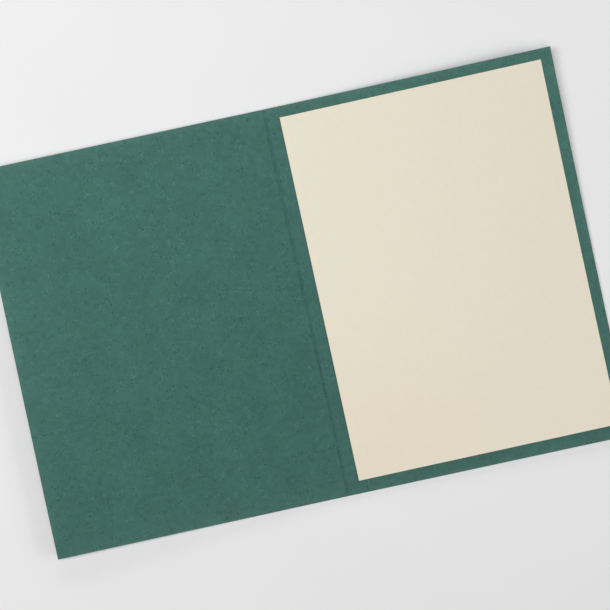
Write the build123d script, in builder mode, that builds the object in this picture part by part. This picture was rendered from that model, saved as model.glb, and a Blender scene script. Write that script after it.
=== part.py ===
from build123d import *
from math import cos, radians, tan
import os

os.makedirs("parts", exist_ok=True)

# A greeting card lying open on a table, inside up. One sheet of thick felt-marked card is folded
# once, and a plain paper sheet is mounted on the inside of its right panel.
# X runs across the open card, Y along it towards its top edge, Z up from the table.
# The origin is on the table under the middle of the open sheet. Lengths are in millimetres.

# The card's sheet, opened out
card_width = 220.0
card_height = 148.5
card_thickness = 0.45

# The fold: where it crosses the sheet's middle, and how many degrees its top end leans left
fold_offset = 0.77
fold_lean = 0.3

# The crease: scoring presses a narrow band down, so the inside gets a shallow channel and the
# outside a low ridge, with two fine round-bottomed score lines in the channel's floor
crease_width = 1.9
crease_floor = 1.1
crease_depth = 0.1
score_spacing = 0.65
score_width = 0.3
score_depth = 0.11

# The panels: a strip beside the crease lies flat on the table, then the panel turns up over the
# turn width and rises almost straight to its outer edge. The card is a little twisted, so that
# edge springs up by its own amount at the bottom, the middle and the top
flat_width = 8.0
turn_width = 12.0
left_lift_bottom = 2.5
left_lift_middle = 2.8
left_lift_top = 0.9
right_lift_bottom = 0.5
right_lift_middle = 0.6
right_lift_top = 3.9

# The mounted sheet: its size, its lower left corner's distances from the fold's middle and from
# the card's bottom edge, and how many degrees it was turned anticlockwise when it was put down.
# A film of glue holds it just off the card's inside
insert_width = 99.7
insert_height = 139.4
insert_thickness = 0.22
insert_fold_gap = 5.05
insert_bottom_margin = 4.83
insert_turn = 0.14
glue_film = 0.06

bottom_y = -card_height / 2
top_y = card_height / 2
edge_x = card_width / 2
fold_slope = tan(radians(fold_lean))
fold_direction = (-fold_slope, 1, 0)
fold_length = card_height / cos(radians(fold_lean))
score_radius = (score_width**2 / 4 + score_depth**2) / (2 * score_depth)

# How far each panel's outer edge springs up, from the card's bottom to its top
left_lifts = ((bottom_y, left_lift_bottom), (0, left_lift_middle), (top_y, left_lift_top))
right_lifts = ((bottom_y, right_lift_bottom), (0, right_lift_middle), (top_y, right_lift_top))


def fold_x(y):
    """Where the middle of the leaning fold is, y along the card."""
    return fold_offset - y * fold_slope


def end_plane(y):
    """An upright plane across the card at y, with its own y up from the table."""
    return Plane.XZ.offset(-y)


def flat_line(side, height):
    """A panel's flat strip seen from the card's bottom end, height above the panel's underside.
    side is -1 for the left panel and 1 for the right."""
    level = crease_depth + height
    crease_x = fold_x(bottom_y) + side * crease_width / 2
    curl_x = fold_x(bottom_y) + side * flat_width
    Line((crease_x, level), (curl_x, level))


def crease_line(height):
    """The pressed band seen from the same end: from each panel an S leads down to its floor."""
    middle = fold_x(bottom_y)
    brow_z = crease_depth + height
    for side in (-1, 1):
        brow_x = middle + side * crease_width / 2
        floor_x = middle + side * crease_floor / 2
        turn_x = (brow_x + floor_x) / 2
        Bezier((brow_x, brow_z), (turn_x, brow_z), (turn_x, height), (floor_x, height))
    Line((middle - crease_floor / 2, height), (middle + crease_floor / 2, height))


def curl_outline(y, side, lift, low, high):
    """The rising part of a panel in section at y, between two heights above its underside. It
    leaves the flat strip level, turns up and reaches lift at the panel's outer edge."""
    curl_x = fold_x(y) + side * flat_width
    rim_x = side * edge_x
    for height in (low, high):
        level = crease_depth + height
        Bezier((curl_x, level), (curl_x + side * turn_width, level), (rim_x, level + lift))
    for x, foot in ((curl_x, crease_depth + low), (rim_x, crease_depth + low + lift)):
        Line((x, foot), (x, foot + high - low))


# The folded sheet of card
with BuildPart() as card:
    # The crease and the flat strips beside it run along the leaning fold
    with BuildSketch(end_plane(bottom_y)):
        with BuildLine():
            for height in (0, card_thickness):
                flat_line(-1, height)
                crease_line(height)
                flat_line(1, height)
            for side in (-1, 1):
                strip_x = fold_x(bottom_y) + side * flat_width
                Line((strip_x, crease_depth), (strip_x, crease_depth + card_thickness))
        make_face()
    extrude(amount=fold_length, dir=fold_direction)

    # Each panel's rise is one smooth twisted surface through its three sections
    for side, lifts in ((-1, left_lifts), (1, right_lifts)):
        for y, lift in lifts:
            with BuildSketch(end_plane(y)):
                with BuildLine():
                    curl_outline(y, side, lift, 0, card_thickness)
                make_face()
        loft()

    # The two score lines run the whole length of the fold
    with BuildSketch(end_plane(bottom_y)):
        for side in (-1, 1):
            score_x = fold_x(bottom_y) + side * score_spacing / 2
            with Locations((score_x, card_thickness + score_radius - score_depth)):
                Circle(score_radius)
    extrude(amount=fold_length, dir=fold_direction, mode=Mode.SUBTRACT)

# The sheet mounted on the right panel
with BuildPart() as insert_sheet:
    insert_under = card_thickness + glue_film
    insert_top = insert_under + insert_thickness

    # A layer over the panel's inside, the flat strip and then the rise
    with BuildSketch(end_plane(bottom_y)):
        with BuildLine():
            for height in (insert_under, insert_top):
                flat_line(1, height)
            for strip_x in (crease_width / 2, flat_width):
                x = fold_x(bottom_y) + strip_x
                Line((x, crease_depth + insert_under), (x, crease_depth + insert_top))
        make_face()
    extrude(amount=fold_length, dir=fold_direction)
    for y, lift in right_lifts:
        with BuildSketch(end_plane(y)):
            with BuildLine():
                curl_outline(y, 1, lift, insert_under, insert_top)
            make_face()
    loft()

    # The layer is cut to the sheet's own square-cornered outline
    corner_y = bottom_y + insert_bottom_margin
    with BuildSketch(Plane.XY):
        with Locations((fold_x(corner_y) + insert_fold_gap, corner_y)):
            Rectangle(
                insert_width,
                insert_height,
                rotation=insert_turn,
                align=(Align.MIN, Align.MIN),
            )
    extrude(amount=card_width, mode=Mode.INTERSECT)

card.part.label = "card"
insert_sheet.part.label = "insert_sheet"
export_step(card.part, "parts/card.step")
export_step(insert_sheet.part, "parts/insert_sheet.step")
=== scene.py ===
import math

import bpy
from mathutils import Matrix, Vector


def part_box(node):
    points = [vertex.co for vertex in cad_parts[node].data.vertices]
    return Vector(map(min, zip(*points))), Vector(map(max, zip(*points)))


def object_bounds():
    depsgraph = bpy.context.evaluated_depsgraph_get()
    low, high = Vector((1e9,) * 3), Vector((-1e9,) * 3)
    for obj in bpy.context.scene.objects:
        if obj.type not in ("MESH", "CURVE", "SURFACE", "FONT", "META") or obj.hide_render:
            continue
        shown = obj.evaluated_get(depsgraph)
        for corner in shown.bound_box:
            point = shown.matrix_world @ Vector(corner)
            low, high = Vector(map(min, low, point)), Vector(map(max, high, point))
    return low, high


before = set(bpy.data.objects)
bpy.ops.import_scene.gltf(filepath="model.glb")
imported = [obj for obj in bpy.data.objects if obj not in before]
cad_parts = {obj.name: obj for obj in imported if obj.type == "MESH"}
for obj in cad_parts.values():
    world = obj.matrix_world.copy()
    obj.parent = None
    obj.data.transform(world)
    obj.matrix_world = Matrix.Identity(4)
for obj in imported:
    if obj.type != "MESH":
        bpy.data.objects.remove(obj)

# A greeting card lying open on a table, with the finish of its two papers and the photo's light.
# Lengths on the card are in millimetres, and those of the lamps and the camera in metres
cad_low, cad_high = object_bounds()
MM = 0.001

# The photograph: its size in pixels, the scale on the table, where the card's origin falls in it
# from the middle of the picture, how far the card is turned in it, and the camera's height
PHOTO_PIXELS = 610
PIXELS_PER_MM = 2.663
ORIGIN_RIGHT_PIXELS = -1.2
ORIGIN_UP_PIXELS = 1.72
CARD_TURN = math.radians(12.204)
CAMERA_HEIGHT = 0.6
SENSOR_MM = 36.0

# Half the card's sheet, whose middle is over the origin
CARD_HALF = (cad_high.x / MM, cad_high.y / MM)

# The fold in the row frame: where it crosses the sheet's middle and how far its top end leans left
FOLD_OFFSET = 0.77
FOLD_LEAN = math.radians(0.3)

# The painted shade of its two score lines, both left of its middle: each one's place right of it, and
# how dark it is at the bottom of the fold and at its top. It fades out over the fold's last stretch
SCORE_LINE_SHADES = ((-0.63, 0.175, 0.77), (-0.08, 0.7, 0.525))
SCORE_FADE = 6.0

# Painted highlight beside the bright table and paper: how far the paler rim of the card reaches
# inwards, and the weaker one around the insert outwards
EDGE_GLOW_REACH = 1.2
INSERT_GLOW_REACH = 1.0
INSERT_GLOW = 0.4

# The floor's side in metres, the plain background's brightness, 0 to 255, and how far from the
# card's middle the table fades into it
FLOOR_SIDE = 6.0
BACKGROUND_GREY = 231
FADE_START = 170.0
FADE_END = 420.0


def rectangle_in(low, high, turn):
    """The middle and half the width and height of a rectangle on the table that is turned a little,
    worked out from its box."""
    half_x, half_y, _ = (high - low) / 2 / MM
    half_width = (half_x * math.cos(turn) - half_y * math.sin(turn)) / math.cos(2 * turn)
    half_height = (half_y * math.cos(turn) - half_x * math.sin(turn)) / math.cos(2 * turn)
    return ((low + high) / 2 / MM).xy, (half_width, half_height)


# The insert's turn, its middle and half its size, in the row frame
INSERT_TURN = math.radians(0.14)
INSERT_MIDDLE, INSERT_HALF = rectangle_in(*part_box("insert_sheet"), INSERT_TURN)


def in_photo(right, up, height):
    """A place given by the photo's own right and up from the card's origin, in the row frame."""
    return Matrix.Rotation(-CARD_TURN, 4, "Z") @ Vector((right, up, height))


def colour(red, green, blue):
    """A colour as a picture shows it, 0 to 255, as the linear colour that a shader takes."""
    linear = []
    for level in (red / 255, green / 255, blue / 255):
        linear.append(level / 12.92 if level <= 0.04045 else ((level + 0.055) / 1.055) ** 2.4)
    return (*linear, 1.0)


def grey(level):
    return colour(level, level, level)


# Node graphs


class Graph:
    """A node tree that is filled by short calls."""

    def __init__(self, tree):
        self.tree = tree

    def add(self, kind, settings=None, **inputs):
        """Adds a node, sets its properties and fills its inputs with numbers or other sockets."""
        node = self.tree.nodes.new(kind)
        for key, value in (settings or {}).items():
            setattr(node, key, value)
        for key, value in inputs.items():
            self.fill(node.inputs[key.replace("_", " ")], value)
        return node

    def fill(self, socket, value):
        if isinstance(value, bpy.types.NodeSocket):
            self.tree.links.new(value, socket)
        else:
            socket.default_value = value

    def math(self, operation, first, second=0.0):
        node = self.add("ShaderNodeMath", {"operation": operation})
        self.fill(node.inputs[0], first)
        self.fill(node.inputs[1], second)
        return node.outputs[0]

    def total(self, *values):
        result = values[0]
        for value in values[1:]:
            result = self.math("ADD", result, value)
        return result

    def product(self, *values):
        result = values[0]
        for value in values[1:]:
            result = self.math("MULTIPLY", result, value)
        return result

    def less(self, share, depth=1.0):
        """A factor of 1 that goes down by depth where share is 1."""
        return self.math("SUBTRACT", 1.0, self.product(share, depth))

    def between(self, value, low, high, to_low=0.0, to_high=1.0):
        """value from low to high, brought smoothly to the range from to_low to to_high."""
        node = self.add("ShaderNodeMapRange", {"interpolation_type": "SMOOTHSTEP"})
        self.fill(node.inputs["Value"], value)
        ends = (("From Min", low), ("From Max", high), ("To Min", to_low), ("To Max", to_high))
        for key, number in ends:
            self.fill(node.inputs[key], number)
        return node.outputs["Result"]

    def falling(self, value, low, high):
        """1 where value is below low, going smoothly to 0 where it is above high."""
        return self.between(value, low, high, 1.0, 0.0)

    def looked_at(self):
        """1 for a ray from the camera, a reflection or glass, and 0 for one that only gives light."""
        path = self.add("ShaderNodeLightPath").outputs
        seen = self.math("MAXIMUM", path["Is Camera Ray"], path["Is Glossy Ray"])
        return self.math("MAXIMUM", seen, path["Is Transmission Ray"])

    def mix_shaders(self, amount, first, second):
        node = self.add("ShaderNodeMixShader", Fac=amount)
        self.fill(node.inputs[1], first)
        self.fill(node.inputs[2], second)
        return node.outputs[0]


class Surface(Graph):
    """A material's node tree. Its textures' coordinates are the row frame's millimetres."""

    def __init__(self, name):
        self.material = bpy.data.materials.new(name)
        self.material.use_nodes = True
        super().__init__(self.material.node_tree)
        self.shader = self.tree.nodes["Principled BSDF"]
        place = self.add("ShaderNodeTexCoord").outputs["Object"]
        self.place = self.vector_math("SCALE", place, Scale=1 / MM)

    def vector_math(self, operation, first, second=(0, 0, 0), **inputs):
        node = self.add("ShaderNodeVectorMath", {"operation": operation}, **inputs)
        self.fill(node.inputs[0], first)
        self.fill(node.inputs[1], second)
        return node.outputs[0]

    def turn(self, vector, angle):
        """A vector turned about the upright axis by angle radians."""
        settings = {"rotation_type": "Z_AXIS"}
        return self.add("ShaderNodeVectorRotate", settings, Vector=vector, Angle=angle).outputs[0]

    def axes(self, vector):
        """A vector's x, y and z."""
        return self.add("ShaderNodeSeparateXYZ", Vector=vector).outputs

    def mix(self, amount, first, second):
        """A colour between two, nearer the second as amount goes from 0 to 1. The node has sockets
        for each kind of data, and those for colours are its inputs 6 and 7 and its output 2."""
        node = self.add("ShaderNodeMix", {"data_type": "RGBA"}, Factor=amount)
        self.fill(node.inputs[6], first)
        self.fill(node.inputs[7], second)
        return node.outputs[2]

    def noise(self, size, detail=2.0, roughness=0.5, stretch=(1, 1, 1), shift=0.0):
        """Noise from 0 to 1 whose lumps are about size millimetres across."""
        moved = self.vector_math("ADD", self.place, (shift, shift, shift))
        scaled = self.vector_math("MULTIPLY", moved, stretch)
        node = self.add(
            "ShaderNodeTexNoise",
            Vector=scaled,
            Scale=1 / size,
            Detail=detail,
            Roughness=roughness,
        )
        return node.outputs["Fac"]

    def lumps(self, size, depth, **settings):
        """A factor about 1 that goes up and down by depth with the noise."""
        return self.between(self.noise(size, **settings), 0.3, 0.7, 1 - depth, 1 + depth)

    def fibres(self, spacing, width, length, share, bend=0.3, shift=0.0):
        """Short bent fibres strewn over the sheet, one at most in each cell of a loose grid, as 1 on
        a fibre and 0 beside it. share is how many cells have one. Lengths are in millimetres."""
        moved = self.vector_math("ADD", self.place, (shift, shift, 0))
        scaled = self.vector_math("SCALE", moved, Scale=1 / spacing)
        cell = self.add(
            "ShaderNodeTexVoronoi",
            {"voronoi_dimensions": "2D"},
            Vector=scaled,
            Scale=1.0,
        )
        chance, direction, curve = self.axes(cell.outputs["Color"])
        local = self.vector_math("SUBTRACT", scaled, cell.outputs["Position"])
        angle = self.math("MULTIPLY", direction, 2 * math.pi)
        across, along, _ = self.axes(self.turn(local, angle))
        bow = self.between(curve, 0, 1, -bend, bend)
        arc = self.product(along, along, bow, spacing / length)
        off = self.math("ABSOLUTE", self.total(across, arc))
        on_line = self.falling(off, 0.5 * width / spacing, width / spacing)
        reach = self.math("ABSOLUTE", along)
        in_reach = self.falling(reach, 0.35 * length / spacing, 0.5 * length / spacing)
        present = self.math("LESS_THAN", chance, share)
        return self.product(on_line, in_reach, present)

    def past_rim(self, place, half_sizes):
        """How far a place is outside a rectangle about the origin. Inside it is below 0."""
        right, up, _ = self.axes(place)
        beyond = []
        for along, half in zip((right, up), half_sizes):
            beyond.append(self.math("SUBTRACT", self.math("ABSOLUTE", along), half))
        return self.math("MAXIMUM", *beyond)

    def near(self, distance, reach):
        """1 at no distance or less, and half that at reach."""
        return self.math("DIVIDE", reach, self.math("ADD", self.math("MAXIMUM", distance, 0.0), reach))

    def cut_edge(self):
        """1 on a sheet's cut edges, which stand upright, and 0 on its two faces."""
        normal = self.add("ShaderNodeNewGeometry").outputs["True Normal"]
        level = self.math("ABSOLUTE", self.axes(normal)[2])
        return self.falling(level, 0.3, 0.7)

    def finish(self, tint, shade, roughness, specular, relief, relief_mm):
        """Fills the shader: tint times shade, the sheen of its surface, and relief as its bumps."""
        self.fill(self.shader.inputs["Base Color"], self.vector_math("SCALE", tint, Scale=shade))
        self.shader.inputs["Roughness"].default_value = roughness
        self.shader.inputs["Specular IOR Level"].default_value = specular
        bump = self.add("ShaderNodeBump", Height=relief, Strength=1.0, Distance=relief_mm * MM)
        self.fill(self.shader.inputs["Normal"], bump.outputs["Normal"])
        return self.material


# Materials


def painted_fold_shade(g):
    """How much painted shade darkens the fold, up to about 1: along its two score lines, the left one
    clearer towards the top and the right one lower down, in a band of painted shade. Both are broken
    up along the fold, and in the breaks and on its right lip a painted highlight, below 0, offsets the
    grooves' own shade. across is how far right of the fold's middle a place is."""
    right, up, _ = g.axes(g.place)
    lean = g.math("MULTIPLY", up, math.tan(FOLD_LEAN))
    across = g.math("SUBTRACT", g.total(right, lean), FOLD_OFFSET)
    broken = g.noise(1.5, roughness=0.55, stretch=(2.0, 0.65, 1.0), shift=71.0)
    before_end = g.falling(g.math("ABSOLUTE", up), CARD_HALF[1] - SCORE_FADE, CARD_HALF[1])
    # The score lines' painted shade is broken up along the fold, and where it goes below 0 it is a
    # painted highlight
    painted_amount = g.product(g.between(broken, 0.42, 0.56, -0.5, 1.9), before_end)
    line_shades = []
    for middle, at_bottom, at_top in SCORE_LINE_SHADES:
        off = g.math("ABSOLUTE", g.math("SUBTRACT", across, middle))
        line = g.falling(off, 0.08, 0.34)
        strength = g.between(up, -50.0, 60.0, at_bottom, at_top)
        line_shades.append(g.product(line, strength, painted_amount))
    # A band of painted shade in the crease, and a painted highlight on its right lip
    band = g.product(g.between(across, -1.15, -0.8), g.falling(across, -0.1, 0.4))
    band_shade = g.between(g.noise(1.6, shift=23.0), 0.3, 0.7, 0.15, 0.45)
    lip_highlight = g.product(g.between(across, 0.0, 0.35), g.between(across, 0.6, 1.3, -0.24, 0.0))
    return g.total(*line_shades, g.product(band, band_shade), lip_highlight)


def painted_glow_rims(g):
    """How much a painted highlight pales the felt, from 0 to 1: most right at the card's cut edges,
    fading inwards, and a little around the insert, as a glow beside the bright table and paper."""
    inwards = g.math("MULTIPLY", g.past_rim(g.place, CARD_HALF), -1.0)
    from_insert = g.vector_math("SUBTRACT", g.place, (*INSERT_MIDDLE, 0))
    outwards = g.past_rim(g.turn(from_insert, -INSERT_TURN), INSERT_HALF)
    painted_amount = g.near(inwards, EDGE_GLOW_REACH)
    insert_glow = g.product(g.near(outwards, INSERT_GLOW_REACH), INSERT_GLOW)
    patchy = g.lumps(size=3.0, depth=0.25, shift=37.0)
    return g.product(g.math("MINIMUM", g.total(painted_amount, insert_glow), 1.0), patchy)


def green_card():
    """Uncoated green card: pale and dark fibres, gathered in loose patches of a soft felt."""
    g = Surface("green_card")
    yellower, bluer = colour(57.7, 101.4, 91.6), colour(56.7, 100.4, 93.6)
    glow_green = colour(72, 109, 100)
    pale_fibre, dark_fibre = colour(73.5, 116.5, 108), colour(43, 86, 77.5)

    gathered = g.between(g.noise(4.0, shift=17.0), 0.42, 0.6, 0.12, 1.0)
    pale = g.product(g.fibres(spacing=1.6, width=0.2, length=1.4, share=0.36, shift=5.0), gathered)
    dark = g.product(g.fibres(spacing=1.5, width=0.24, length=1.1, share=0.38, shift=41.0), gathered)
    long = g.fibres(spacing=6.0, width=0.2, length=5.5, share=0.35, bend=1.2, shift=83.0)
    tint = g.mix(g.between(g.noise(9.0, shift=3.0), 0.35, 0.65), yellower, bluer)
    # Painted highlight: the felt is paler near the card's cut edges and around the insert
    tint = g.mix(painted_glow_rims(g), tint, glow_green)
    tint = g.mix(g.math("MAXIMUM", pale, g.product(long, 0.5)), tint, pale_fibre)
    tint = g.mix(dark, tint, dark_fibre)

    # Painted shade: the card is made a little darker towards its bottom and its fold, where less light
    # falls, then come its lumps, the fold's painted shade and its edges
    edge = g.cut_edge()
    right, up, _ = g.axes(g.place)
    shade = g.product(
        g.between(up, -CARD_HALF[1], CARD_HALF[1], 0.92, 1.03),
        g.between(right, -CARD_HALF[0], 0.0, 1.025, 0.99),
        g.lumps(size=15.0, depth=0.047),
        g.lumps(size=2.4, depth=0.052, detail=1.0, shift=57.0),
        g.lumps(size=0.8, depth=0.05, roughness=0.6, shift=31.0),
        g.less(painted_fold_shade(g), depth=0.13),
        g.total(1.0, g.product(edge, 0.15)),
    )
    felt = g.noise(0.9, detail=3.0, roughness=0.6, shift=11.0)
    layers = g.noise(0.5, stretch=(0.4, 0.4, 6.0), shift=61.0)
    relief = g.total(felt, g.product(pale, 0.5), g.product(layers, edge))
    return g.finish(tint, shade, roughness=0.8, specular=0.2, relief=relief, relief_mm=0.03)


def cream_paper():
    """Smooth cream paper with a faint cloudiness and a few tiny specks of fibre. It is a little
    warmer towards the right and the lower left."""
    g = Surface("cream_paper")
    cream = colour(228.2, 222.1, 203)
    right_cream, lower_left_cream = colour(228.2, 219.8, 201.1), colour(228.2, 219.2, 199.3)

    right, up, _ = g.axes(g.place)
    lower_left = g.product(g.falling(up, -65.0, 5.0), g.falling(right, 15.0, 95.0))
    tint = g.mix(g.between(right, 5.0, 100.0), cream, right_cream)
    tint = g.mix(lower_left, tint, lower_left_cream)
    edge = g.cut_edge()
    specks = g.fibres(spacing=9.0, width=0.16, length=0.6, share=0.35, shift=29.0)
    shade = g.product(
        g.lumps(size=2.2, depth=0.007, detail=3.0, roughness=0.55),
        g.less(specks, depth=0.07),
        g.less(edge, depth=0.04),
    )
    tooth = g.noise(0.4, detail=3.0, shift=5.0)
    layers = g.noise(0.4, stretch=(0.4, 0.4, 6.0), shift=67.0)
    relief = g.total(tooth, g.product(layers, edge, 3.0))
    return g.finish(tint, shade, roughness=0.85, specular=0.15, relief=relief, relief_mm=0.003)


def pale_floor():
    """A plain pale table top. Far from the card it fades into the plain background."""
    g = Surface("pale_floor")
    tint = g.mix(g.between(g.noise(40.0), 0.3, 0.7), grey(231), grey(232))
    g.finish(tint, 1.0, roughness=0.9, specular=0.1, relief=g.noise(0.5, shift=7.0), relief_mm=0.002)
    radius = g.add("ShaderNodeVectorMath", {"operation": "LENGTH"}, Vector=g.place).outputs["Value"]
    far = g.product(g.between(radius, FADE_START, FADE_END), g.looked_at())
    plain = g.add("ShaderNodeEmission", Color=grey(BACKGROUND_GREY), Strength=1.0)
    surface = g.mix_shaders(far, g.shader.outputs[0], plain.outputs[0])
    g.fill(g.tree.nodes["Material Output"].inputs["Surface"], surface)
    return g.material


for node, make in (("card", green_card), ("insert_sheet", cream_paper)):
    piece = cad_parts[node]
    piece.data.materials.clear()
    piece.data.materials.append(make())

# The floor

bpy.ops.mesh.primitive_plane_add(size=FLOOR_SIDE, location=(0, 0, 0))
floor = bpy.context.object
floor.name = "floor"
floor.data.materials.append(pale_floor())

# The lamps and the world

scene = bpy.context.scene


def area_lamp(name, turn, rise, distance, width, height, watts, aim=(0, 0)):
    """A soft lamp, turn degrees round from the photo's right, anticlockwise, and rise degrees above
    the table. It faces a place on the table, given by the photo's right and up. Lengths are in
    metres."""
    turn, rise = math.radians(turn), math.radians(rise)
    data = bpy.data.lights.new(name, "AREA")
    data.shape = "RECTANGLE"
    data.size = width
    data.size_y = height
    data.energy = watts
    lamp = bpy.data.objects.new(name, data)
    lamp.location = in_photo(
        distance * math.cos(turn) * math.cos(rise),
        distance * math.sin(turn) * math.cos(rise),
        distance * math.sin(rise),
    )
    lamp.rotation_euler = (in_photo(*aim, 0) - lamp.location).to_track_quat("-Z", "Y").to_euler()
    lamp.visible_camera = False
    scene.collection.objects.link(lamp)


area_lamp(
    "softbox", turn=165, rise=73, distance=0.93, width=0.6, height=0.55, watts=4.02, aim=(-0.2, 0.53)
)
area_lamp(
    "left_fill", turn=180, rise=50, distance=1.1, width=0.5, height=0.5, watts=4.96, aim=(-0.86, 0.37)
)
area_lamp(
    "front_fill", turn=296, rise=60, distance=1.6, width=0.9, height=0.9, watts=6.83, aim=(0.3, -0.17)
)
area_lamp(
    "right_window", turn=355, rise=20, distance=1.1, width=0.76, height=0.31, watts=5.43, aim=(0.3, 0)
)
area_lamp(
    "far_wall", turn=105, rise=13, distance=1.2, width=1.2, height=0.35, watts=6.88, aim=(-0.49, -0.13)
)

# The world gives no light. Where it is looked at, it is the plain background
world = bpy.data.worlds.new("studio")
world.use_nodes = True
sky = Graph(world.node_tree)
sky_light = sky.tree.nodes["Background"]
sky_light.inputs["Strength"].default_value = 0.0
backdrop = sky.add("ShaderNodeBackground", Color=grey(BACKGROUND_GREY), Strength=1.0)
surround = sky.mix_shaders(sky.looked_at(), sky_light.outputs[0], backdrop.outputs[0])
sky.fill(sky.tree.nodes["World Output"].inputs["Surface"], surround)
scene.world = world

# The camera, straight above

camera_data = bpy.data.cameras.new("camera")
camera_data.sensor_width = SENSOR_MM
camera_data.lens = PIXELS_PER_MM / MM * CAMERA_HEIGHT / PHOTO_PIXELS * SENSOR_MM
camera = bpy.data.objects.new("camera", camera_data)
camera.location = in_photo(
    -ORIGIN_RIGHT_PIXELS / PIXELS_PER_MM * MM,
    -ORIGIN_UP_PIXELS / PIXELS_PER_MM * MM,
    CAMERA_HEIGHT,
)
camera.rotation_euler = (0, 0, -CARD_TURN)
scene.collection.objects.link(camera)
scene.camera = camera

scene.view_settings.view_transform = "Standard"
